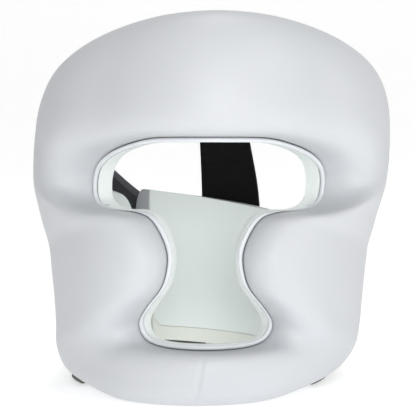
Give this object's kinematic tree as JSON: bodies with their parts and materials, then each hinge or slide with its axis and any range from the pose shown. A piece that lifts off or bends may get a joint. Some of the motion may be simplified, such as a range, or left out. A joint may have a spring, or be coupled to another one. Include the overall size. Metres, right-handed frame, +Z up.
{
  "type": "head guard",
  "caption": "White padded full-face boxing head guard with a wide eye slot, cheek lobes, a chin bar, a closed rear panel and a crown strap.",
  "frame": {"origin": "middle of the guard's footprint on the surface that it stands on", "axes": "+Z up through the crown, the face towards -Y, the wearer's left towards +X"},
  "size_m": [0.2458, 0.2488, 0.258],
  "materials": {
    "shell": "satin",
    "lining": "matte",
    "band": "matte",
    "elastic": "matte",
    "webbing": "matte",
    "hook": "matte"
  },
  "bodies": {
    "root": {"face_shell": "shell", "face_lining": "lining", "face_piping": "shell", "ear_panel_left": "shell", "ear_lining_left": "lining", "ear_panel_right": "shell", "ear_lining_right": "lining", "rear_panel": "shell", "rear_lining": "lining", "rear_band": "band", "closure_flap": "shell", "hook_patch": "hook", "neck_strap": "webbing", "keeper_tab": "shell", "crown_strap": "elastic"}
  },
  "joints": []
}
